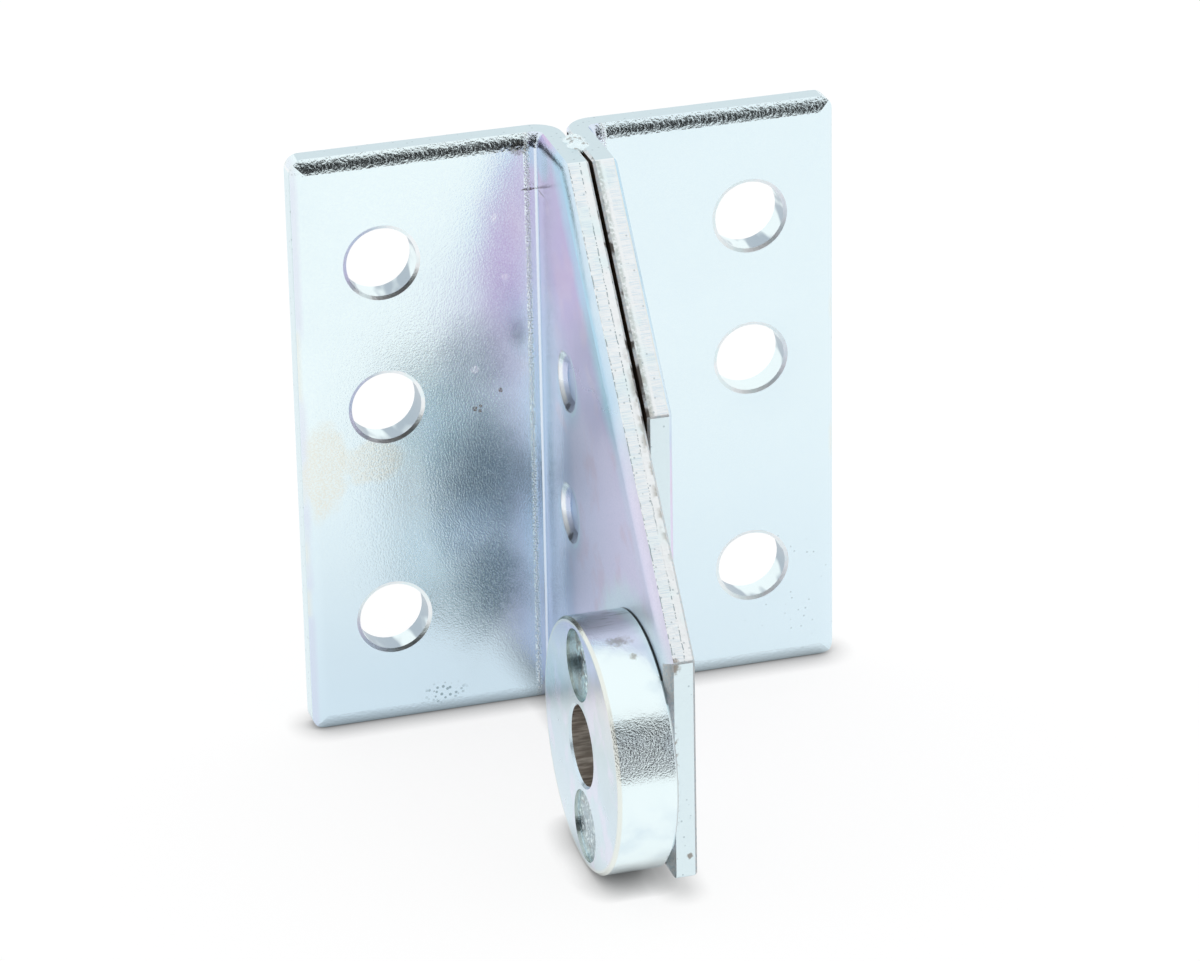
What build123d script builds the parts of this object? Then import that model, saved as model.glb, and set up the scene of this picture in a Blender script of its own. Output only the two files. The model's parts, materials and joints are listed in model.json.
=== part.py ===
from build123d import *
import os

# Folded plates: sheet, flange and bend. Lengths are in millimetres.
# X = 0 is the seam between the two webs, Y = 0 the mounting plane with the cabinet at +Y,
# and Z = 0 the middle of the flanges' height.
plate_thickness = 3.42
bend_radius = 0.35
flange_height = 76.2
flange_width = 34.4
flange_corner_radius = 1.8

# Bolt holes, three in each flange
bolt_hole_diameter = 8.8
bolt_hole_offset = 23.45
bolt_hole_end_margin = 14.29
middle_hole_height = 42.86
bolt_rim_width = 0.45
bolt_rim_depth = 0.21

# Webs: both follow one sloping line down from the top edge
web_gap = 0.5
web_top_depth = 14.3
long_web_depth = 54.9
long_web_shoulder_height = 28.5
short_web_depth = 35.5
web_corner_radius = 0.5
burr_side_chamfer = 0.3

# Rolled edge that shearing leaves along one face of the sheet
roll_reach = 1.9
roll_radius = 3.2
roll_meeting_angle = 3.4
cut_overshoot = 0.2

# Weld projections pressed through the long web against the short one
projection_depth_from_mount = 14.7
projection_heights = (30.5, 48.0)
dimple_diameter = 7.6
dimple_floor_diameter = 5.2
dimple_depth = 0.85
button_diameter = 5.6

# Pivot disc on the long web's outer face
disc_diameter = 31.3
disc_thickness = 7.4
disc_depth_from_mount = 43.4
disc_height = 13.55
disc_front_chamfer = 0.35
disc_back_chamfer = 0.35
bore_diameter = 9.9
bore_chamfer = 0.3

# Plug welds that hold the disc to the web
plug_hole_diameter = 8.9
plug_hole_radius_from_bore = 10.3
plug_hole_tilt = 5.5
upper_plug_recess = 1.0
lower_plug_recess = 0.35
plug_crown = 0.45

# Tack weld over the seam at the webs' top edge
tack_depth_from_mount = 8.0
tack_lobe_diameter = 3.2
tack_lobe_spacing = 1.9
tack_rise = 0.8
tack_penetration = 0.6

half_height = flange_height / 2
seam_face_x = -web_gap / 2
web_face_x = seam_face_x - plate_thickness
bolt_hole_heights = (bolt_hole_end_margin, middle_hole_height, flange_height - bolt_hole_end_margin)
pivot_y = -disc_depth_from_mount
pivot_z = disc_height - half_height


def slope_z(depth):
    """Level of the webs' shared sloping edge at a depth from the mounting plane."""
    fall = (flange_height - long_web_shoulder_height) / (long_web_depth - web_top_depth)
    return half_height - (depth - web_top_depth) * fall


def side_view(depth):
    """Outline of a plate seen from the side: flange at the back, tapering web in front."""
    corners = [
        (0, -half_height),
        (0, half_height),
        (-web_top_depth, half_height),
        (-depth, slope_z(depth)),
        (-depth, -half_height),
    ]
    return Plane.YZ * make_face(Polyline(*corners, close=True))


def roll_section():
    """Section cut away at a rolled edge: x runs into the face, y out of the sheet."""
    width = roll_reach + cut_overshoot
    blank = Rectangle(width, roll_radius, align=(Align.MIN, Align.MAX))
    centre = Pos(roll_reach, 0) * Rot(0, 0, roll_meeting_angle) * Pos(0, -roll_radius)
    return Pos(-cut_overshoot, cut_overshoot) * blank - centre * Circle(roll_radius)


def straight_roll(start, end, outward):
    """Cut for a rolled straight edge of a face whose outward normal is given."""
    start, end, outward = Vector(*start), Vector(*end), Vector(*outward)
    along = (end - start).normalized()
    plane = Plane(start - along * cut_overshoot, x_dir=outward.cross(along), z_dir=along)
    return extrude(plane * roll_section(), (end - start).length + 2 * cut_overshoot)


def bent_roll(depth):
    """Cut for the rolled top edge, which follows the inside of the bend."""
    path = FilletPolyline(
        (web_face_x, -depth - cut_overshoot, half_height),
        (web_face_x, -plate_thickness, half_height),
        (-flange_width - cut_overshoot, -plate_thickness, half_height),
        radius=bend_radius,
    )
    plane = Plane(path @ 0, x_dir=(0, 0, -1), z_dir=path % 0)
    return sweep(plane * roll_section(), path=path)


def angle_plate(depth):
    """Folded plate with its flange on the -X side and a web of the given depth."""
    bend_line = FilletPolyline(
        (-flange_width, 0),
        (seam_face_x, 0),
        (seam_face_x, -depth),
        radius=bend_radius + plate_thickness,
    )
    section = make_face(offset(bend_line, plate_thickness, side=Side.RIGHT))
    plate = Pos(0, 0, -half_height) * extrude(section, flange_height)
    flange_corners = plate.edges().filter_by(Axis.Y).group_by(Axis.X)[0]
    plate = fillet(flange_corners, flange_corner_radius)
    plate &= extrude(side_view(depth), flange_width, both=True)
    web_corners = plate.edges().filter_by(Axis.X).sort_by(Axis.Y)[:3]
    plate = fillet(web_corners, web_corner_radius)

    shoulder = (web_face_x, -depth, slope_z(depth))
    top_roll = bent_roll(depth)
    plate -= top_roll
    plate -= mirror(top_roll, about=Plane.XY)
    plate -= straight_roll(
        (-flange_width, -plate_thickness, half_height),
        (-flange_width, -plate_thickness, -half_height),
        (0, -1, 0),
    )
    plate -= straight_roll((web_face_x, -depth, -half_height), shoulder, (-1, 0, 0))
    plate -= straight_roll(shoulder, (web_face_x, -web_top_depth, half_height), (-1, 0, 0))

    seam_outline = plate.faces().sort_by(Axis.X)[-1].edges().sort_by(Axis.Y)[:-1]
    return drill_bolt_holes(chamfer(seam_outline, burr_side_chamfer))


def drill_bolt_holes(plate):
    """Three punched holes through the flange, each with its rim drawn in on the front face."""
    radius = bolt_hole_diameter / 2
    for height in bolt_hole_heights:
        place = Pos(-bolt_hole_offset, -plate_thickness, height - half_height) * Rot(-90, 0, 0)
        plate -= place * Cylinder(radius, 3 * plate_thickness)
        plate -= place * Cone(
            radius + bolt_rim_width,
            radius,
            bolt_rim_depth,
            align=(Align.CENTER, Align.CENTER, Align.MIN),
        )
    return plate


def press_projections(plate):
    """Dimples in the web's outer face, each with a button that meets the other web."""
    for height in projection_heights:
        place = Pos(web_face_x, -projection_depth_from_mount, height - half_height) * Rot(0, 90, 0)
        plate -= place * Cone(
            dimple_diameter / 2,
            dimple_floor_diameter / 2,
            dimple_depth,
            align=(Align.CENTER, Align.CENTER, Align.MIN),
        )
        plate += place * Pos(0, 0, plate_thickness) * Cylinder(
            button_diameter / 2,
            web_gap,
            align=(Align.CENTER, Align.CENTER, Align.MIN),
        )
    return plate


def along_pivot(x):
    """Frame on the pivot axis at x, with its own z pointing out of the disc towards -X."""
    return Pos(x, pivot_y, pivot_z) * Rot(0, -90, 0)


def plug_places():
    """Frames of the upper and lower plug holes, on the web's outer face."""
    turned = along_pivot(web_face_x) * Rot(0, 0, plug_hole_tilt)
    return [turned * Pos(side * plug_hole_radius_from_bore, 0, 0) for side in (1, -1)]


def long_arm_plate():
    plate = press_projections(angle_plate(long_web_depth))
    return plate - along_pivot(web_face_x) * Cylinder(bore_diameter / 2, 3 * plate_thickness)


def short_arm_plate():
    return mirror(angle_plate(short_web_depth), about=Plane.YZ)


def pivot_disc():
    """Turned disc with a pivot bore and the two holes for its plug welds."""
    on_web = (Align.CENTER, Align.CENTER, Align.MIN)
    disc = Cylinder(disc_diameter / 2, disc_thickness, align=on_web)
    disc = chamfer(disc.edges().group_by(Axis.Z)[0], disc_back_chamfer)
    disc = chamfer(disc.edges().group_by(Axis.Z)[-1], disc_front_chamfer)
    disc -= Cylinder(bore_diameter / 2, 3 * disc_thickness)
    bore_mouth = disc.edges().group_by(Axis.Z)[-1].sort_by(SortBy.RADIUS)[0]
    disc = along_pivot(web_face_x) * chamfer(bore_mouth, bore_chamfer)
    for place in plug_places():
        disc -= place * Cylinder(plug_hole_diameter / 2, 3 * disc_thickness)
    return disc


def plug_weld(place, recess):
    """Weld metal that fills a plug hole from the web up to a crowned top."""
    radius = plug_hole_diameter / 2
    crest = disc_thickness - recess
    rim = crest - plug_crown
    dome_radius = (radius**2 + plug_crown**2) / (2 * plug_crown)
    floor = Polyline((0, crest), (0, 0), (radius, 0), (radius, rim))
    dome = RadiusArc((radius, rim), (0, crest), -dome_radius)
    half_section = Plane.XZ * make_face([floor, dome])
    return place * revolve(half_section, Axis.Z)


def seam_mouth():
    """Space over the webs' top edges, down into the chamfered mouth of the seam."""
    reach = tack_lobe_diameter + tack_lobe_spacing
    half_gap = web_gap / 2
    half_mouth = half_gap + burr_side_chamfer
    right_side = [
        (half_gap, half_height - tack_penetration),
        (half_gap, half_height - burr_side_chamfer),
        (half_mouth, half_height),
        (reach, half_height),
        (reach, half_height + reach),
    ]
    left_side = [(-x, z) for x, z in reversed(right_side)]
    section = Plane.XZ * make_face(Polyline(*right_side, *left_side, close=True))
    return Pos(0, -tack_depth_from_mount, 0) * extrude(section, reach, both=True)


def top_tack_weld():
    """Two run-together lobes of weld metal over the seam on the webs' top edge."""
    lobe_radius = tack_lobe_diameter / 2
    level = half_height + tack_rise - lobe_radius
    lobe = Rot(0, 90, 0) * Sphere(lobe_radius)
    weld = Part()
    for side in (-1, 1):
        y = -tack_depth_from_mount + side * tack_lobe_spacing / 2
        weld += Pos(0, y, level) * lobe
    return weld & seam_mouth()


upper_place, lower_place = plug_places()
nodes = {
    "long_arm_plate": long_arm_plate(),
    "short_arm_plate": short_arm_plate(),
    "pivot_disc": pivot_disc(),
    "upper_plug_weld": plug_weld(upper_place, upper_plug_recess),
    "lower_plug_weld": plug_weld(lower_place, lower_plug_recess),
    "top_tack_weld": top_tack_weld(),
}
os.makedirs("parts", exist_ok=True)
for name, shape in nodes.items():
    export_step(shape, f"parts/{name}.step")
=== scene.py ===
"""Finish and studio for a welded hinge bracket: zinc-plated sheet, turned disc and rough weld metal."""
import json
import math

import bpy
from mathutils import Matrix, Vector, noise


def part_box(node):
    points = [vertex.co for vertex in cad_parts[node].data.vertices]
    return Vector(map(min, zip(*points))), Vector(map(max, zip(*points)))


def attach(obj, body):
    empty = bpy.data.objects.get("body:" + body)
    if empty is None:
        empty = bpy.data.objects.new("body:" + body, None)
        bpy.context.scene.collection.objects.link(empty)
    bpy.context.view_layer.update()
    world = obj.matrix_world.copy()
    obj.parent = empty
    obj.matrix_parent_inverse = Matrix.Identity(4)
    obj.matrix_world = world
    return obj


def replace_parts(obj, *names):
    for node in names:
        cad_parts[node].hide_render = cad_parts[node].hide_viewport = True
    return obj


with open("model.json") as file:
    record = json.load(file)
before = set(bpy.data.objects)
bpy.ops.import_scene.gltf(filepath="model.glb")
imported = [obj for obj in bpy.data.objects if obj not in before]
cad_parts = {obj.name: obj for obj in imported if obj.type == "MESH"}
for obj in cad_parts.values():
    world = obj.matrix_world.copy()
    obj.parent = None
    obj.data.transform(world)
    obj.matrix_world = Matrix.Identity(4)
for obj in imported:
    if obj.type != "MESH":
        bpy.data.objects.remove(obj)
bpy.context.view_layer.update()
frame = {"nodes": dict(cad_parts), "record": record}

MM = 0.001

# Camera, fitted to the photograph's frame
CAMERA_PLACE = Vector((-172.66, -610.64, 277.05)) * MM
CAMERA_TURN_DEG = -16.182
CAMERA_PITCH_DEG = 65.648
CAMERA_ROLL_DEG = -1.139
CAMERA_LENS_MM = 166.7

# Studio: white all round, with one dark zone on the camera's side that plated edges mirror
DARK_ZONE_LOW_DEG = -5
DARK_ZONE_HIGH_DEG = 39
DARK_ZONE_TURN_DEG = -9
DARK_ZONE_HALF_WIDTH_DEG = 53
DARK_ZONE_SOFT_DEG = 2
DARK_ZONE_LEVEL = 0.03
FLOOR_GREY = 0.20
FLOOR_GLOW = 0.84
FLOOR_REACH = 3.0
CONTACT_SHADOW_MM = 3.5

# Reflected colours of the plating, its films and its dirt, and of the light and shade painted on it
ZINC = (0.86, 0.98, 1.0)
ZINC_DULL = (0.74, 0.87, 0.93)
ZINC_LOW = (0.62, 0.78, 0.90)
# Cut zinc, also the painted shade of the cut edges' top faces
ZINC_CUT_AND_SHADE = (0.64, 0.765, 0.81)
ZINC_FRONT = (0.80, 0.93, 0.97)
ZINC_WHITE = (0.95, 0.985, 1.0)
LILAC = (0.64, 0.53, 0.77)
LILAC_GREY = (0.62, 0.64, 0.84)
LILAC_PALE = (0.88, 0.83, 1.0)
SLATE = (0.50, 0.56, 0.74)
ROSE = (0.80, 0.63, 0.75)
FILM_BLUE = (0.54, 0.73, 0.88)
FILM_SKY = (0.69, 0.83, 0.92)
FILM_TEAL = (0.42, 0.64, 0.68)
# Smoke blue: a film and mark colour, and also the painted dark reflection of the web and disc on the long arm's
# flange
SMOKE_BLUE_AND_REFLECTION = (0.22, 0.31, 0.35)
PIT_GREY = (0.42, 0.44, 0.50)
STRAW = (0.83, 0.84, 0.76)
RUST = (0.17, 0.10, 0.05)
# Dirt, and also painted shade in the seam, round the disc and at the weld projections' lower ends
SEAM_DIRT_AND_SHADE = (0.07, 0.05, 0.035)
OLIVE_DIRT = (0.24, 0.22, 0.16)
FRACTURE_GREY = (0.50, 0.57, 0.55)
WALL_GREY = (0.42, 0.51, 0.58)
BORE_DARK = (0.38, 0.33, 0.29)
BORE_LIGHT = (0.76, 0.71, 0.65)
DISC_GREY = (0.80, 0.82, 0.85)
WELD_BLUE = (0.36, 0.47, 0.53)
WELD_GREY = (0.47, 0.57, 0.62)

# Places on the bracket, in millimetres of the shared frame
mounts = {mount["name"]: mount for mount in frame["record"]["mounts"]}
plate_low, plate_high = (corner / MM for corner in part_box("long_arm_plate"))
disc_low, disc_high = (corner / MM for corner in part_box("pivot_disc"))
TACK_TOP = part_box("top_tack_weld")[1].z / MM
HALF_HEIGHT = plate_high.z
FLANGE_EDGE = -plate_low.x
FLANGE_FRONT = -3.42
WEB_FACE = -disc_high.x
WEB_FRONT = plate_low.y
SHORT_WEB_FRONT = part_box("short_arm_plate")[0].y / MM
WEB_TOP_DEPTH = 14.3
WEB_SHOULDER_Z = -9.6
SLOPE_FALL = (HALF_HEIGHT - WEB_SHOULDER_Z) / (-WEB_FRONT - WEB_TOP_DEPTH)
BOLT_OFFSET = mounts["outer_bolts"]["dims"]["spacing_x_mm"] / 2
BOLT_RADIUS = mounts["outer_bolts"]["dims"]["hole_r_mm"]
OUTER_BOLT_Z = mounts["outer_bolts"]["dims"]["spacing_y_mm"] / 2
BOLT_HEIGHTS = (-OUTER_BOLT_Z, mounts["middle_bolts"]["pos_m"][2] / MM, OUTER_BOLT_Z)
BORE_RADIUS = mounts["pivot_bore"]["dims"]["r_mm"]
DISC_CENTRE = (disc_low + disc_high) / 2
DISC_RADIUS = (disc_high.z - disc_low.z) / 2
FRONT_ROLL_REACH = 1.9
DIMPLE_Y = -14.7
DIMPLE_HEIGHTS = (-7.6, 9.9)
DIMPLE_RADIUS = 3.8

# Films, stains and painted dark reflections: place, radii, colour and strength
FLANGE_FILMS_AND_REFLECTIONS = [
    ((-16.5, FLANGE_FRONT, 1.5), (7, 2, 8), FILM_TEAL, 0.4),
    ((-8.0, FLANGE_FRONT, 21.0), (4, 2, 17), LILAC, 0.5),
    # The smoke-blue entries are a painted dark reflection of the web and disc, not a film
    ((-11.8, FLANGE_FRONT, 9.5), (6, 2, 6), SMOKE_BLUE_AND_REFLECTION, 0.35),
    ((-11.6, FLANGE_FRONT, -6.3), (6, 2, 9), SMOKE_BLUE_AND_REFLECTION, 0.75),
    ((-13.5, FLANGE_FRONT, -13.0), (5, 2, 5), FILM_BLUE, 0.35),
    ((-10.6, FLANGE_FRONT, -21.0), (5.5, 2, 7), SMOKE_BLUE_AND_REFLECTION, 0.75),
]
FLANGE_STAINS = [
    ((-31.6, FLANGE_FRONT, -2.5), (2.6, 2, 6.0), STRAW, 0.8),
    ((-25.5, FLANGE_FRONT, -2.2), (3.6, 2, 2.8), STRAW, 0.7),
    ((-12.3, FLANGE_FRONT, 2.9), (0.28, 1, 0.3), RUST, 0.9),
    ((-11.7, FLANGE_FRONT, 2.5), (0.24, 1, 0.22), RUST, 0.8),
    ((-11.6, FLANGE_FRONT, 3.2), (0.2, 1, 0.2), RUST, 0.8),
    ((-9.0, FLANGE_FRONT, 5.0), (0.25, 1, 0.3), RUST, 0.9),
    ((-4.7, FLANGE_FRONT, 31.0), (0.9, 1, 0.16), SEAM_DIRT_AND_SHADE, 0.9),
    ((-5.8, FLANGE_FRONT, 36.4), (1.2, 1, 0.8), OLIVE_DIRT, 0.7),
    ((-8.0, FLANGE_FRONT, 19.9), (0.4, 1, 0.4), ZINC_WHITE, 0.8),
    ((-9.2, FLANGE_FRONT, 27.9), (0.3, 1, 0.5), ZINC_WHITE, 0.8),
    ((-12.2, FLANGE_FRONT, 8.2), (0.5, 1, 0.5), ZINC_WHITE, 0.7),
]
WEB_STAINS = [
    ((-WEB_FACE, -5.2, 30.9), (0.6, 1.5, 0.15), SEAM_DIRT_AND_SHADE, 0.5),
    ((-WEB_FACE, -6.0, 35.5), (1.0, 3.0, 2.5), FILM_BLUE, 0.8),
]
EDGE_STAINS = [
    ((-3.0, WEB_FRONT, -9.9), (0.9, 0.9, 1.1), RUST, 0.75),
    ((-3.1, WEB_FRONT, -22.5), (0.4, 0.9, 0.5), RUST, 0.6),
    ((-1.2, WEB_FRONT, -35.2), (0.4, 0.4, 0.4), RUST, 0.7),
]
RIM_SMUDGES = [
    ((-7.4, DISC_CENTRE.y - 4.0, DISC_CENTRE.z + 15.1), (1.7, 0.9, 1.0)),
    ((-6.3, DISC_CENTRE.y - 6.6, DISC_CENTRE.z + 14.2), (0.5, 0.5, 0.6)),
]
# Painted dark reflection of the web and disc on the long arm's flange, beside the bend, and scuffed dots at its
# foot: middle and radii
DARK_REFLECTION_PLACE = (-12.6, FLANGE_FRONT, -8.0)
DARK_REFLECTION_RADII = (6.2, 2, 22)
SCUFF_PLACE = (-17.4, FLANGE_FRONT, -35.2)
SCUFF_RADII = (2.8, 2, 1.2)
# Fine specks in the short arm's flange, beside its lowest hole: middle and radii
SPECK_PLACE = (28.5, FLANGE_FRONT, -27.5)
SPECK_RADII = (6, 2, 9)
# Noise that makes the edges of wide and of small stains ragged, per millimetre
WIDE_RAGS = 0.25
SMALL_RAGS = 2.5


class Shader:
    """A material's node tree. Coordinates are millimetres of the shared frame."""

    def __init__(self, name):
        self.material = bpy.data.materials.new(name)
        self.material.use_nodes = True
        self.tree = self.material.node_tree
        self.principled = self.tree.nodes["Principled BSDF"]
        self.noises = {}
        place = self.node("ShaderNodeTexCoord").outputs["Object"]
        self.place = self.node("ShaderNodeVectorMath", operation="SCALE", Vector=place, Scale=1 / MM).outputs[0]
        self.x, self.y, self.z = self.node("ShaderNodeSeparateXYZ", Vector=self.place).outputs

    def put(self, socket, value):
        """Links a socket to another, or sets its value."""
        if isinstance(value, bpy.types.NodeSocket):
            self.tree.links.new(value, socket)
        elif socket.type == "RGBA" and len(value) == 3:
            socket.default_value = (*value, 1)
        else:
            socket.default_value = value

    def node(self, kind, **settings):
        made = self.tree.nodes.new(kind)
        for name, value in settings.items():
            if name in made.inputs:
                self.put(made.inputs[name], value)
            else:
                setattr(made, name, value)
        return made

    def math(self, operation, *values):
        made = self.node("ShaderNodeMath", operation=operation)
        for socket, value in zip(made.inputs, values):
            self.put(socket, value)
        return made.outputs[0]

    def product(self, first, *others):
        for other in others:
            first = self.math("MULTIPLY", first, other)
        return first

    def total(self, first, *others):
        for other in others:
            first = self.math("ADD", first, other)
        return first

    def ease(self, value, low, high):
        """0 below low, 1 above high and smooth between; the other way round if high is the smaller."""
        made = self.node("ShaderNodeMapRange", interpolation_type="SMOOTHSTEP")
        for name, setting in zip(("Value", "From Min", "From Max"), (value, low, high)):
            self.put(made.inputs[name], setting)
        return made.outputs[0]

    def band(self, value, low, high, soft):
        """1 between low and high, with soft ends."""
        rise = self.ease(value, low - soft, low + soft)
        return self.product(rise, self.ease(value, high + soft, high - soft))

    def noise(self, scale, detail=2.0, stretch=(1, 1, 1), offset=0.0):
        """Noise of about 1 / scale millimetres, from 0 to 1, made once for each setting."""
        key = (scale, detail, stretch, offset)
        if key not in self.noises:
            place = self.node("ShaderNodeMapping", Vector=self.place, Scale=stretch, Location=(offset,) * 3)
            made = self.node("ShaderNodeTexNoise", Vector=place.outputs[0], Scale=scale, Detail=detail)
            self.noises[key] = made.outputs[0]
        return self.noises[key]

    def wander(self, scale, reach, offset=0.0):
        """Slow noise from -reach to reach."""
        return self.math("MULTIPLY", self.math("SUBTRACT", self.noise(scale, 3, offset=offset), 0.5), 2 * reach)

    def cells(self, scale, offset=0.0):
        """Distance to the nearest of scattered points, about 1 / scale millimetres apart."""
        place = self.node("ShaderNodeMapping", Vector=self.place, Location=(offset,) * 3)
        return self.node("ShaderNodeTexVoronoi", Vector=place.outputs[0], Scale=scale).outputs["Distance"]

    def distance(self, *offsets):
        """Length of a vector given by its parts."""
        return self.math("SQRT", self.total(*(self.math("POWER", offset, 2) for offset in offsets)))

    def near(self, centre, radii, ragged=0.3, softness=0.7):
        """1 at a place and 0 outside a ragged ellipsoid around it."""
        offsets = []
        for axis, middle, radius in zip((self.x, self.y, self.z), centre, radii):
            offsets.append(self.math("DIVIDE", self.math("SUBTRACT", axis, middle), radius))
        rags = self.wander(WIDE_RAGS if max(radii) > 2 else SMALL_RAGS, 2 * ragged)
        spread = self.math("ADD", self.distance(*offsets), rags)
        return self.ease(spread, 1.25, 1.25 - softness)

    def from_disc_axis(self):
        """Distance from the pivot's axis."""
        return self.distance(
            self.math("SUBTRACT", self.y, DISC_CENTRE.y), self.math("SUBTRACT", self.z, DISC_CENTRE.z)
        )

    def mix(self, factor, first, second):
        made = self.node("ShaderNodeMix", data_type="RGBA")
        for index, value in ((0, factor), (6, first), (7, second)):
            self.put(made.inputs[index], value)
        return made.outputs[2]

    def stain(self, colour, mask, strength, tint):
        """Lays a tint over a colour where a mask is 1."""
        return self.mix(self.math("MULTIPLY", mask, strength), colour, tint)

    def ramp(self, factor, stops):
        made = self.node("ShaderNodeValToRGB", Fac=factor)
        elements = made.color_ramp.elements
        while len(elements) < len(stops):
            elements.new(0.5)
        for element, (place, colour) in zip(elements, stops):
            element.position = place
            element.color = (*colour, 1)
        return made.outputs[0]

    def bump(self, height, depth_mm, normal=None):
        made = self.node("ShaderNodeBump", Height=height, Strength=1.0, Distance=depth_mm * MM)
        if normal is not None:
            self.put(made.inputs["Normal"], normal)
        return made.outputs[0]

    def grain(self, depth_mm, scale):
        """Peened grain: soft waves with fine pits on them."""
        waves = self.bump(self.noise(0.25 * scale, 2), depth_mm)
        return self.bump(self.noise(scale, 2, offset=40), depth_mm, waves)

    def finish(self, colour, roughness, normal, metallic=1.0):
        settings = {"Base Color": colour, "Roughness": roughness, "Normal": normal, "Metallic": metallic}
        for name, value in settings.items():
            self.put(self.principled.inputs[name], value)
        return self.material


def slope_distance(shader):
    """Distance from the webs' sloping edge, in millimetres, positive inside the web."""
    edge_z = shader.math("MULTIPLY_ADD", shader.y, SLOPE_FALL, HALF_HEIGHT + WEB_TOP_DEPTH * SLOPE_FALL)
    return shader.math("MULTIPLY", shader.math("SUBTRACT", edge_z, shader.z), 1 / math.hypot(1, SLOPE_FALL))


def web_film(s):
    """Interference colours of the webs: blue along the edges, lilac and rose between."""
    inward = s.math("DIVIDE", s.total(slope_distance(s), s.wander(0.12, 1.8, 7)), 20)
    colour = s.ramp(
        inward,
        [(0, FILM_SKY), (0.08, FILM_BLUE), (0.16, FILM_BLUE), (0.28, LILAC), (0.65, LILAC), (1, LILAC_GREY)],
    )
    outer = s.product(s.ease(s.total(s.z, s.wander(0.1, 5, 3)), 15, 5), s.ease(s.y, -12, -18))
    colour = s.stain(colour, outer, 0.85, LILAC_PALE)
    rose = s.product(s.ease(s.noise(0.16, 3, offset=12), 0.5, 0.66), s.ease(slope_distance(s), 2, 5))
    colour = s.stain(colour, rose, 0.4, ROSE)
    by_bend = s.product(s.ease(s.total(s.y, s.wander(0.2, 1.2, 5)), -10, -5), s.ease(s.z, 22, 4))
    colour = s.stain(colour, by_bend, 0.7, FILM_BLUE)
    low = s.product(s.ease(s.total(s.z, s.wander(0.1, 5, 3)), 2, -16), s.ease(s.y, -20, -9))
    colour = s.stain(colour, low, 0.6, SLATE)
    by_disc = s.ease(s.total(s.from_disc_axis(), s.wander(0.3, 1.5, 9)), DISC_RADIUS + 5, DISC_RADIUS + 1)
    return s.stain(colour, by_disc, 0.7, ZINC_FRONT)


def dimple_marks(s, colour):
    """Painted highlight on one wall, brown outline, blue halo and painted shade at the lower end of each weld
    projection.
    """
    on_long_web = s.ease(s.x, -1, -2)
    across = s.math("SUBTRACT", s.y, DIMPLE_Y)
    for height in DIMPLE_HEIGHTS:
        upward = s.math("SUBTRACT", s.z, height)
        radius = s.distance(across, upward)
        halo = s.product(s.ease(radius, DIMPLE_RADIUS + 3, DIMPLE_RADIUS), s.ease(upward, 3, -2), on_long_web)
        colour = s.stain(colour, halo, 0.4, FILM_BLUE)
        # Painted highlight on the dimple's far wall
        wall = s.product(s.band(radius, 3.2, DIMPLE_RADIUS, 0.15), s.ease(across, 0.5, 1.8), on_long_web)
        colour = s.stain(colour, wall, 0.9, ZINC_WHITE)
        far_edge = s.product(s.band(radius, DIMPLE_RADIUS, 4.4, 0.2), s.ease(across, -0.8, -2.2), on_long_web)
        colour = s.stain(colour, far_edge, 0.6, FILM_SKY)
        broken = s.ease(s.noise(0.6, 2, offset=height), 0.4, 0.6)
        outline = s.product(s.band(radius, DIMPLE_RADIUS - 0.1, DIMPLE_RADIUS + 0.1, 0.12), broken, on_long_web)
        colour = s.stain(colour, outline, 0.3, RUST)
        # Painted shade at the dimple's lower end
        end = (-WEB_FACE, DIMPLE_Y + 0.5, height - DIMPLE_RADIUS + 0.3)
        colour = s.stain(colour, s.near(end, (1.2, 0.6, 0.5)), 0.6, SEAM_DIRT_AND_SHADE)
    return colour


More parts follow.
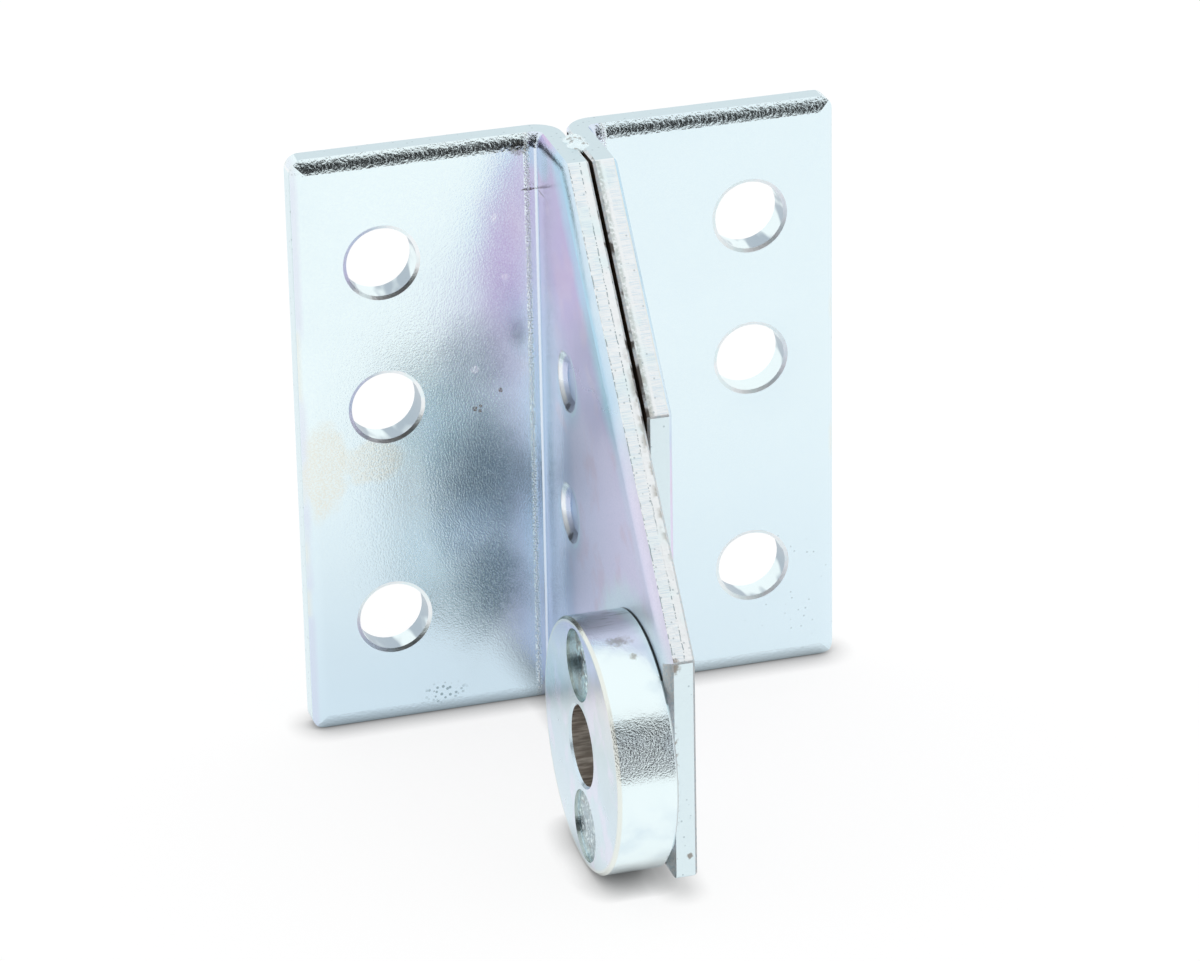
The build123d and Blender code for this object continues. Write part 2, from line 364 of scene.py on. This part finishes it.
def flange_material():
    """Rolled faces of the flanges, with the films, stains and grain of their plating, painted shade towards the
    floor, a painted dark reflection of the web and disc, and a painted reflection and highlight in the bend.
    """
    s = Shader("zinc_flange")
    side = s.math("ABSOLUTE", s.x)
    on_left = s.ease(s.x, 2, -2)
    pits = s.noise(4.6, 2, offset=40)
    speckle = s.ease(pits, 0.36, 0.62)

    colour = s.mix(s.math("MULTIPLY", s.ease(s.noise(0.06, 3), 0.5, 0.8), 0.35), ZINC, ZINC_DULL)
    colour = s.stain(colour, s.ease(s.x, -2, 2), 0.3, FILM_SKY)
    # Painted shade: the flanges darken towards the floor, the long arm's the most
    low = s.ease(s.total(s.z, s.wander(0.06, 8)), 8, -36)
    colour = s.stain(colour, s.product(low, s.math("MULTIPLY_ADD", on_left, 0.45, 0.35)), 0.95, ZINC_LOW)
    colour = s.stain(colour, speckle, 0.12, ZINC_LOW)

    # Painted dark reflection of the web and disc, beside the bend
    dark_reflection = s.near(DARK_REFLECTION_PLACE, DARK_REFLECTION_RADII, ragged=0.12, softness=1.1)
    colour = s.stain(colour, dark_reflection, 0.4, SMOKE_BLUE_AND_REFLECTION)
    grainy = s.math("MULTIPLY_ADD", speckle, 0.5, 0.7)
    for centre, radii, tint, strength in FLANGE_FILMS_AND_REFLECTIONS:
        film = s.near(centre, radii, ragged=0.15, softness=1.1)
        colour = s.stain(colour, s.product(film, grainy), strength, tint)

    on_front = s.ease(s.y, -1.5, -2.5)
    # Painted reflection of the web in the inner bend, and beside it a painted highlight along a bumped ridge on the
    # flange
    colour = s.stain(colour, s.product(s.ease(side, 4.7, 4.4), on_front), 0.4, LILAC_GREY)
    highlight_ridge = s.product(s.band(side, 4.65, 5.15, 0.25), s.ease(pits, 0.38, 0.6), on_front)
    colour = s.stain(colour, highlight_ridge, 0.55, ZINC_WHITE)
    patches = s.noise(0.1, 2)
    edge_film = s.product(s.ease(side, FLANGE_EDGE - 1.2, FLANGE_EDGE - 0.4), s.ease(patches, 0.35, 0.55))
    colour = s.stain(colour, s.product(edge_film, on_left), 0.25, LILAC)
    worn_edge = s.product(s.ease(side, FLANGE_EDGE - 0.8, FLANGE_EDGE), s.ease(patches, 0.5, 0.42))
    colour = s.stain(colour, worn_edge, 0.6, STRAW)
    dots = s.ease(s.cells(1.7, offset=3), 0.42, 0.24)
    colour = s.stain(colour, s.product(dots, s.near(SCUFF_PLACE, SCUFF_RADII, ragged=0.4)), 0.75, SMOKE_BLUE_AND_REFLECTION)
    specks = s.ease(s.cells(0.9, offset=11), 0.15, 0.08)
    colour = s.stain(colour, s.product(specks, s.near(SPECK_PLACE, SPECK_RADII)), 0.35, SMOKE_BLUE_AND_REFLECTION)
    broken = s.math("MULTIPLY_ADD", speckle, 0.6, 0.4)
    for centre, radii, tint, strength in FLANGE_STAINS:
        colour = s.stain(colour, s.product(s.near(centre, radii, softness=0.45), broken), strength, tint)

    on_roll = s.ease(s.math("ABSOLUTE", s.z), HALF_HEIGHT - 2.4, HALF_HEIGHT - 1.6)
    dents = s.product(s.wander(2.4, 0.5, 4), s.math("MULTIPLY_ADD", on_roll, 0.9, 0.1))
    relief = s.product(s.math("SUBTRACT", pits, 0.5), s.math("MULTIPLY_ADD", dark_reflection, 0.8, 0.2))
    normal = s.bump(highlight_ridge, 0.06, s.bump(relief, 0.08, s.bump(dents, 0.08)))
    roughness = s.math("MULTIPLY_ADD", patches, 0.08, 0.12)
    return s.finish(colour, roughness, normal)


def web_material():
    """Rolled faces of the webs, with the weld projections' marks and painted shade round the disc's edge."""
    s = Shader("zinc_web")
    colour = dimple_marks(s, web_film(s))
    # Painted shade where the disc sits against the web
    shade_under_disc = s.ease(s.from_disc_axis(), DISC_RADIUS + 0.1, DISC_RADIUS - 0.2)
    colour = s.stain(colour, s.product(shade_under_disc, s.ease(s.x, -1, -2)), 0.8, SEAM_DIRT_AND_SHADE)
    for centre, radii, tint, strength in WEB_STAINS:
        colour = s.stain(colour, s.near(centre, radii), strength, tint)
    pits = s.noise(4.5, 2, offset=40)
    colour = s.stain(colour, s.ease(pits, 0.4, 0.7), 0.12, SLATE)
    normal = s.bump(pits, 0.025, s.bump(s.noise(1.2, 2), 0.012))
    dull = s.product(s.ease(s.total(s.z, s.wander(0.1, 5, 3)), 18, 6), s.ease(s.y, -9, -18))
    across = s.math("SUBTRACT", s.y, DIMPLE_Y)
    for height in DIMPLE_HEIGHTS:
        upward = s.math("SUBTRACT", s.z, height)
        inside = s.ease(s.distance(across, upward), DIMPLE_RADIUS + 0.1, DIMPLE_RADIUS - 0.1)
        dull = s.math("MAXIMUM", dull, s.product(inside, s.ease(upward, -0.5, -2.0)))
    gloss = s.math("MULTIPLY_ADD", s.noise(0.4, 2, offset=11), 0.10, 0.13)
    return s.finish(colour, s.math("MULTIPLY_ADD", dull, 0.3, gloss), normal)


def sheared_material():
    """Cut edges of the sheet: burnished and torn zones with broken dark lines between them."""
    s = Shader("zinc_sheared_edge")
    facing = s.node("ShaderNodeNewGeometry").outputs["Normal"]
    upward = s.node("ShaderNodeSeparateXYZ", Vector=facing).outputs[2]
    on_slope = s.band(upward, 0.4, 0.75, 0.1)
    on_long_web = s.ease(s.x, 0.1, -0.1)
    on_short_web = s.ease(s.x, -0.1, 0.1)
    zone = s.total(s.math("ABSOLUTE", s.x), s.wander(0.9, 0.14))

    striae = s.noise(8.0, 2, stretch=(0.06, 1, 1))
    burnish = s.product(s.band(zone, 1.55, 2.75, 0.1), s.ease(striae, 0.4, 0.7), on_slope)
    colour = s.mix(s.ease(s.noise(0.3, 3), 0.45, 0.75), ZINC_WHITE, ZINC)
    colour = s.stain(colour, burnish, 0.65, FILM_SKY)
    # Painted shade by facing: greyer on the top faces and blue-grey on the front faces, brightest on the slopes
    colour = s.mix(s.ease(upward, 0.8, 0.95), colour, ZINC_CUT_AND_SHADE)
    colour = s.mix(s.ease(upward, 0.25, 0.05), colour, ZINC_FRONT)

    dashes = s.ease(s.noise(3.0, 3, stretch=(0.3, 1, 1), offset=5), 0.42, 0.54)
    patches = s.ease(s.noise(0.25, 2, offset=8), 0.3, 0.5)
    lines = s.math("ADD", s.band(zone, 2.78, 2.90, 0.05), s.band(zone, 1.38, 1.50, 0.05))
    colour = s.stain(colour, s.product(lines, dashes, patches, on_long_web, on_slope), 0.9, SMOKE_BLUE_AND_REFLECTION)
    torn = s.product(s.ease(zone, 1.3, 0.9), s.ease(s.noise(2.5, 3), 0.3, 0.6), on_short_web, on_slope)
    colour = s.stain(colour, torn, 0.7, FRACTURE_GREY)
    colour = s.stain(colour, s.product(s.ease(zone, 2.7, 2.95), on_short_web, on_slope), 0.6, STRAW)

    brown = s.product(s.ease(zone, 1.3, 0.5), s.band(s.z, 0, 20, 5), s.ease(s.noise(0.7, 3, offset=4), 0.42, 0.6))
    colour = s.stain(colour, s.product(brown, on_slope), 0.6, OLIVE_DIRT)

    by_disc = s.product(s.ease(zone, 2.3, 2.8), s.band(s.z, -30, -19, 2), s.ease(s.y, -53, -54), on_long_web)
    colour = s.stain(colour, s.product(by_disc, s.ease(s.noise(2.2, 3, offset=6), 0.52, 0.62)), 0.8, RUST)
    specks = s.ease(s.cells(0.9, offset=11), 0.16, 0.06)
    colour = s.stain(colour, specks, 0.45, SMOKE_BLUE_AND_REFLECTION)
    for centre, radii, tint, strength in EDGE_STAINS:
        colour = s.stain(colour, s.near(centre, radii), strength, tint)

    roughness = s.math("MULTIPLY_ADD", striae, 0.15, 0.30)
    return s.finish(colour, roughness, s.bump(striae, 0.012, s.grain(0.02, 4)))


def lip_material():
    """Chamfered lips of the seam and worn corners of the webs, brown where dirt has settled."""
    s = Shader("zinc_worn_lip")
    colour = s.mix(s.ease(s.noise(2.5, 3), 0.4, 0.7), ZINC_WHITE, ZINC_DULL)
    facing = s.node("ShaderNodeNewGeometry").outputs["Normal"]
    upward = s.node("ShaderNodeSeparateXYZ", Vector=facing).outputs[2]
    by_seam = s.product(s.ease(s.math("ABSOLUTE", s.x), 0.7, 0.5), s.ease(upward, 0.25, 0.4), s.ease(s.y, -37, -35))
    low = s.math("MULTIPLY", s.ease(s.z, 22, 12), 0.14)
    settled = s.ease(s.total(s.noise(0.45, 4, offset=2), low), 0.50, 0.64)
    colour = s.stain(colour, s.product(settled, by_seam), 0.9, SEAM_DIRT_AND_SHADE)
    return s.finish(colour, 0.6, s.grain(0.03, 4), metallic=0.0)


def hole_wall_material():
    """Punched walls of the bolt holes, part burnished and part torn."""
    s = Shader("zinc_hole_wall")
    torn = s.ease(s.noise(0.28, 2, stretch=(1, 0.3, 1), offset=1), 0.44, 0.54)
    score = s.noise(1.6, 3, stretch=(1, 0.25, 1))
    colour = s.mix(torn, ZINC, WALL_GREY)
    return s.finish(colour, 0.32, s.bump(score, 0.05))


def hole_rim_material():
    """Drawn-in rims of the bolt holes, duller than the faces round them and dullest on the short arm."""
    s = Shader("zinc_hole_rim")
    colour = s.mix(s.ease(s.noise(0.5, 3), 0.4, 0.7), ZINC_WHITE, ZINC)
    roughness = s.math("MULTIPLY_ADD", s.ease(s.x, -2, 2), 0.2, 0.3)
    return s.finish(colour, roughness, s.grain(0.02, 4))


def seam_material():
    """Faces inside the seam: dull and brown with dirt and painted shade, but plated where the long web stands
    clear.
    """
    s = Shader("zinc_seam_dirt_and_shade")
    # Dirt and painted shade inside the seam
    dirt = s.mix(s.ease(s.noise(1.2, 4), 0.45, 0.75), SEAM_DIRT_AND_SHADE, RUST)
    plating = s.mix(s.ease(s.noise(0.12, 3), 0.4, 0.65), FILM_SKY, LILAC_PALE)
    clear = s.ease(s.total(s.y, s.wander(0.6, 0.5)), SHORT_WEB_FRONT - 0.6, SHORT_WEB_FRONT - 2.0)
    relief = s.product(s.noise(3, 3), s.math("MULTIPLY_ADD", clear, -0.7, 1.0))
    roughness = s.math("MULTIPLY_ADD", clear, -0.6, 0.8)
    metallic = s.math("MULTIPLY_ADD", clear, 0.8, 0.2)
    return s.finish(s.mix(clear, dirt, plating), roughness, s.bump(relief, 0.05), metallic)


def disc_face_material():
    """Faced end of the disc, with faint turning rings and a straw line at its rim."""
    s = Shader("zinc_disc_face")
    radius = s.from_disc_axis()
    rings = s.math("SINE", s.math("MULTIPLY", radius, 14))
    height = s.math("SUBTRACT", s.z, DISC_CENTRE.z)
    film = s.total(s.math("DIVIDE", height, 2 * DISC_RADIUS), s.wander(0.07, 0.25), 0.5)
    colour = s.ramp(film, [(0, ZINC_DULL), (0.35, FILM_SKY), (0.6, ZINC_CUT_AND_SHADE), (0.8, DISC_GREY), (1, LILAC_GREY)])
    colour = s.stain(colour, s.ease(s.noise(0.2, 3, offset=21), 0.48, 0.66), 0.5, LILAC_PALE)
    blue_side = (disc_low.x, DISC_CENTRE.y + 9, DISC_CENTRE.z + 9)
    colour = s.stain(colour, s.near(blue_side, (3, 6, 8), softness=1.1), 0.12, FILM_BLUE)
    colour = s.stain(colour, s.ease(radius, DISC_RADIUS - 0.9, DISC_RADIUS - 0.4), 0.6, STRAW)
    normal = s.bump(rings, 0.0008, s.bump(s.noise(1.3, 2), 0.010))
    return s.finish(colour, s.math("MULTIPLY_ADD", s.noise(0.5, 2), 0.08, 0.22), normal)


def disc_rim_material():
    """Rough turned rim of the disc, coarsest on the side that faces forward."""
    s = Shader("zinc_disc_rim")
    pits = s.noise(5.0, 2, offset=40)
    colour = s.mix(s.ease(s.noise(0.2, 3), 0.45, 0.75), ZINC, ZINC_DULL)
    forward = s.ease(s.y, DISC_CENTRE.y - 6, DISC_CENTRE.y - 10)
    coarse = s.product(s.band(s.z, DISC_CENTRE.z + 3.0, DISC_CENTRE.z + 8.0, 1.6), forward)
    colour = s.stain(colour, s.product(coarse, s.ease(pits, 0.36, 0.62)), 0.5, PIT_GREY)
    scratches = s.ease(s.noise(3.0, 2, stretch=(0.08, 1, 1)), 0.56, 0.66)
    top = s.product(s.ease(s.z, -16, -10), s.ease(s.y, -47, -40))
    colour = s.stain(colour, s.product(scratches, top), 0.75, SMOKE_BLUE_AND_REFLECTION)
    for centre, radii in RIM_SMUDGES:
        colour = s.stain(colour, s.near(centre, radii, ragged=0.45, softness=1.1), 0.6, OLIVE_DIRT)
    colour = s.stain(colour, s.ease(s.x, disc_low.x + 0.5, disc_low.x + 0.3), 0.7, STRAW)
    # Painted shade in the crevice where the rim meets the web
    colour = s.stain(colour, s.ease(s.x, -WEB_FACE - 0.3, -WEB_FACE - 0.1), 0.4, SEAM_DIRT_AND_SHADE)
    relief = s.product(s.math("SUBTRACT", pits, 0.5), s.math("MULTIPLY_ADD", coarse, 0.85, 0.15))
    normal = s.bump(relief, 0.10, s.bump(s.noise(0.9, 2), 0.03))
    roughness = s.math("MULTIPLY_ADD", s.noise(0.5, 2, offset=3), 0.08, 0.15)
    return s.finish(colour, roughness, normal)


def bore_material():
    """Bare brown-grey wall of the pivot bore."""
    s = Shader("steel_bore")
    score = s.noise(2.5, 3, stretch=(0.15, 1, 1))
    colour = s.mix(s.ease(score, 0.35, 0.7), BORE_DARK, BORE_LIGHT)
    rusty = s.product(s.ease(s.noise(0.6, 4, offset=2), 0.5, 0.65), s.ease(s.z, DISC_CENTRE.z, DISC_CENTRE.z + 3))
    colour = s.stain(colour, rusty, 0.8, RUST)
    return s.finish(colour, 0.45, s.bump(score, 0.03))


def weld_material(name, tint, dirt_reach):
    """Rough plated weld metal, dirty in its low places."""
    s = Shader(name)
    colour = s.mix(s.ease(s.noise(1.8, 4), 0.45, 0.72), tint, ZINC)
    hollows = s.ease(s.noise(1.1, 3, offset=9), 0.5 + dirt_reach, 0.35 + dirt_reach)
    colour = s.stain(colour, hollows, 0.6, RUST)
    return s.finish(colour, 0.26, s.grain(0.08, 4.5))


def dress(node, materials, pick):
    """Gives each facet of a CAD node the material that pick names for its middle and normal."""
    mesh = frame["nodes"][node].data
    names = list(materials)
    mesh.materials.clear()
    for name in names:
        mesh.materials.append(materials[name])
    for facet in mesh.polygons:
        facet.material_index = names.index(pick(facet.center / MM, facet.normal))


def plate_surface(middle, normal):
    """Which kind of surface a plate's facet belongs to."""
    side = abs(middle.x)
    inside_seam = side < 0.3 and abs(normal.x) > 0.9
    cut_web = abs(normal.x) < 0.1 and middle.y < -5.5
    cut_flange = abs(normal.z) > 0.95 or side > FLANGE_EDGE - 0.1
    seam_lip = side < 0.6 and middle.y < -5.0
    web_corner = cut_web and 0.05 < normal.z < 0.6
    front_roll = middle.y < WEB_FRONT + FRONT_ROLL_REACH and normal.x < -0.5 and normal.y < -0.05
    if inside_seam:
        return "seam"
    if seam_lip or web_corner or front_roll:
        return "lip"
    from_bolt = min(math.hypot(side - BOLT_OFFSET, middle.z - z) for z in BOLT_HEIGHTS)
    if from_bolt < BOLT_RADIUS + 0.02:
        return "hole_wall"
    if from_bolt < BOLT_RADIUS + 0.5 and abs(normal.y) < 0.97:
        return "hole_rim"
    if cut_web or cut_flange:
        return "sheared"
    return "web" if middle.y < FLANGE_FRONT - 0.6 else "flange"


def disc_surface(middle, normal):
    """Which kind of surface a disc facet belongs to."""
    radius = math.hypot(middle.y - DISC_CENTRE.y, middle.z - DISC_CENTRE.z)
    if abs(normal.x) > 0.9 or BORE_RADIUS + 0.05 < radius < BORE_RADIUS + 0.5:
        return "face"
    return "bore" if radius < BORE_RADIUS + 0.05 else "rim"


def add_piece(name, points, facets, material, node):
    """Makes a piece, in millimetres, that stands for a CAD weld."""
    mesh = bpy.data.meshes.new(name)
    mesh.from_pydata([Vector(point) * MM for point in points], [], facets)
    mesh.materials.append(material)
    mesh.shade_smooth()
    piece = bpy.data.objects.new(name, mesh)
    bpy.context.scene.collection.objects.link(piece)
    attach(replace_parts(piece, node), "root")


def lumpiness(point, size):
    """Lumps of weld metal of about a size in millimetres, from -1 to 1, with finer ones on them."""
    return 0.7 * noise.noise(point / size) + 0.3 * noise.noise(point * (3 / size))


def add_plug_weld(node, material, lump_size, lump_height):
    """Weld metal in a plug hole, with a lumpy top."""
    low, high = (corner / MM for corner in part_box(node))
    middle = (low + high) / 2
    hole_radius = (high.z - low.z) / 2
    rings, spokes = 36, 96
    points = [(high.x, middle.y, middle.z)]
    for ring in range(1, rings + 1):
        radius = hole_radius * ring / rings
        fade = 1 - (ring / rings) ** 6
        for spoke in range(spokes):
            angle = math.tau * spoke / spokes
            place = Vector((low.x, middle.y + radius * math.cos(angle), middle.z + radius * math.sin(angle)))
            depth = lump_height * (1 - lumpiness(place, lump_size)) * fade
            points.append((low.x + depth + lump_height * (1 - fade), place.y, place.z))
    points[0] = (sum(point[0] for point in points[1:spokes + 1]) / spokes, middle.y, middle.z)
    rim = 1 + (rings - 1) * spokes
    points += [(high.x, y, z) for x, y, z in points[rim:]]
    facets = [(0, 1 + (spoke + 1) % spokes, 1 + spoke) for spoke in range(spokes)]
    for ring in range(rings):
        start = 1 + ring * spokes
        for spoke in range(spokes):
            after = (spoke + 1) % spokes
            facets.append((start + spoke, start + after, start + spokes + after, start + spokes + spoke))
    facets.append(tuple(range(len(points) - spokes, len(points))))
    add_piece(f"{node}_metal", points, facets, material, node)


def add_tack_weld(material):
    """The seam's tack weld, pitted and uneven."""
    node = "top_tack_weld"
    source = frame["nodes"][node].data
    points = []
    for vertex in source.vertices:
        place = vertex.co / MM
        above = max(0.0, place.z - HALF_HEIGHT) / (TACK_TOP - HALF_HEIGHT)
        inward = 0.22 * above * (1 - lumpiness(place, 0.8))
        points.append(place - vertex.normal * inward)
    facets = [tuple(facet.vertices) for facet in source.polygons]
    add_piece("top_tack_weld_metal", points, facets, material, node)


def add_camera():
    data = bpy.data.cameras.new("camera")
    data.sensor_width = 36
    data.lens = CAMERA_LENS_MM
    camera = bpy.data.objects.new("camera", data)
    turn = Matrix.Rotation(math.radians(CAMERA_TURN_DEG), 4, "Z")
    pitch = Matrix.Rotation(math.radians(CAMERA_PITCH_DEG), 4, "X")
    roll = Matrix.Rotation(math.radians(CAMERA_ROLL_DEG), 4, "Z")
    camera.matrix_world = Matrix.Translation(CAMERA_PLACE) @ turn @ pitch @ roll
    bpy.context.scene.collection.objects.link(camera)
    bpy.context.scene.camera = camera


def add_floor():
    """Floor that the flanges' back edges and the disc stand on."""
    reach = math.hypot(DISC_CENTRE.y, DISC_CENTRE.z + HALF_HEIGHT)
    sight = math.atan2(DISC_CENTRE.z + HALF_HEIGHT, -DISC_CENTRE.y)
    fall = math.asin(DISC_RADIUS / reach) - sight
    mesh = bpy.data.meshes.new("floor")
    corners = [(x * FLOOR_REACH, y * FLOOR_REACH, 0) for x, y in ((-1, -1), (1, -1), (1, 1), (-1, 1))]
    mesh.from_pydata(corners, [], [(0, 1, 2, 3)])
    floor = bpy.data.objects.new("floor", mesh)
    floor.location = (0, 0, -HALF_HEIGHT * MM)
    floor.rotation_euler = (fall, 0, 0)
    bpy.context.scene.collection.objects.link(floor)
    mesh.materials.append(floor_material())


def floor_material():
    """White paper that glows a little to the camera, darker where the bracket stands close."""
    material = bpy.data.materials.new("floor")
    material.use_nodes = True
    tree = material.node_tree
    tree.nodes.remove(tree.nodes["Principled BSDF"])
    diffuse = tree.nodes.new("ShaderNodeBsdfDiffuse")
    diffuse.inputs["Color"].default_value = (FLOOR_GREY, FLOOR_GREY, FLOOR_GREY, 1)
    contact = tree.nodes.new("ShaderNodeAmbientOcclusion")
    contact.inputs["Distance"].default_value = CONTACT_SHADOW_MM * MM
    glow = tree.nodes.new("ShaderNodeEmission")
    tree.links.new(contact.outputs["Color"], glow.inputs["Color"])
    tree.links.new(seen_rays(tree, FLOOR_GLOW), glow.inputs["Strength"])
    both = tree.nodes.new("ShaderNodeAddShader")
    tree.links.new(diffuse.outputs[0], both.inputs[0])
    tree.links.new(glow.outputs[0], both.inputs[1])
    tree.links.new(both.outputs[0], tree.nodes["Material Output"].inputs["Surface"])
    return material


def seen_rays(tree, level):
    """A level for camera, glossy and transmission rays, and 0 for the others."""
    rays = tree.nodes.new("ShaderNodeLightPath").outputs
    total = rays["Is Camera Ray"]
    for name in ("Is Glossy Ray", "Is Transmission Ray"):
        add = tree.nodes.new("ShaderNodeMath")
        add.operation = "MAXIMUM"
        tree.links.new(total, add.inputs[0])
        tree.links.new(rays[name], add.inputs[1])
        total = add.outputs[0]
    scale = tree.nodes.new("ShaderNodeMath")
    scale.operation = "MULTIPLY"
    tree.links.new(total, scale.inputs[0])
    scale.inputs[1].default_value = level
    return scale.outputs[0]


def add_world():
    """White studio dome with the dark zone beside the camera."""
    world = bpy.data.worlds.new("studio")
    bpy.context.scene.world = world
    world.use_nodes = True
    tree = world.node_tree
    background = tree.nodes["Background"]

    def math_node(operation, *values):
        made = tree.nodes.new("ShaderNodeMath")
        made.operation = operation
        for socket, value in zip(made.inputs, values):
            if isinstance(value, bpy.types.NodeSocket):
                tree.links.new(value, socket)
            else:
                socket.default_value = value
        return made.outputs[0]

    def ease(value, low_deg, high_deg):
        made = tree.nodes.new("ShaderNodeMapRange")
        made.interpolation_type = "SMOOTHSTEP"
        tree.links.new(value, made.inputs["Value"])
        made.inputs["From Min"].default_value = math.radians(low_deg)
        made.inputs["From Max"].default_value = math.radians(high_deg)
        return made.outputs[0]

    direction = tree.nodes.new("ShaderNodeTexCoord").outputs["Generated"]
    split = tree.nodes.new("ShaderNodeSeparateXYZ")
    tree.links.new(direction, split.inputs[0])
    x, y, z = split.outputs
    height = math_node("ARCSINE", z)
    zone_azimuth = math.atan2(CAMERA_PLACE.y, CAMERA_PLACE.x) + math.radians(DARK_ZONE_TURN_DEG)
    turn = math_node("SUBTRACT", math_node("ARCTAN2", y, x), zone_azimuth)
    aside = math_node("ABSOLUTE", math_node("WRAP", turn, math.pi, -math.pi))
    soft = DARK_ZONE_SOFT_DEG
    above = ease(height, DARK_ZONE_LOW_DEG - soft, DARK_ZONE_LOW_DEG + soft)
    below = ease(height, DARK_ZONE_HIGH_DEG + soft, DARK_ZONE_HIGH_DEG - soft)
    beside = ease(aside, DARK_ZONE_HALF_WIDTH_DEG + 2 * soft, DARK_ZONE_HALF_WIDTH_DEG - 2 * soft)
    dark = math_node("MULTIPLY", math_node("MULTIPLY", above, below), beside)
    seen = tree.nodes.new("ShaderNodeLightPath").outputs["Is Camera Ray"]
    dark = math_node("MULTIPLY", dark, math_node("SUBTRACT", 1.0, seen))
    level = math_node("MULTIPLY_ADD", dark, DARK_ZONE_LEVEL - 1, 1.0)
    background.inputs["Color"].default_value = (1, 1, 1, 1)
    tree.links.new(level, background.inputs["Strength"])


add_camera()
add_floor()
add_world()

plate_materials = {
    "flange": flange_material(),
    "web": web_material(),
    "sheared": sheared_material(),
    "lip": lip_material(),
    "hole_wall": hole_wall_material(),
    "hole_rim": hole_rim_material(),
    "seam": seam_material(),
}
for plate in ("long_arm_plate", "short_arm_plate"):
    dress(plate, plate_materials, plate_surface)
disc_materials = {"face": disc_face_material(), "rim": disc_rim_material(), "bore": bore_material()}
dress("pivot_disc", disc_materials, disc_surface)
add_plug_weld("upper_plug_weld", weld_material("zinc_upper_weld", WELD_BLUE, 0.02), 1.5, 0.34)
add_plug_weld("lower_plug_weld", weld_material("zinc_lower_weld", WELD_GREY, -0.1), 0.9, 0.22)
add_tack_weld(weld_material("zinc_tack_weld", ZINC_FRONT, -0.06))

bpy.context.scene.view_settings.view_transform = "Standard"
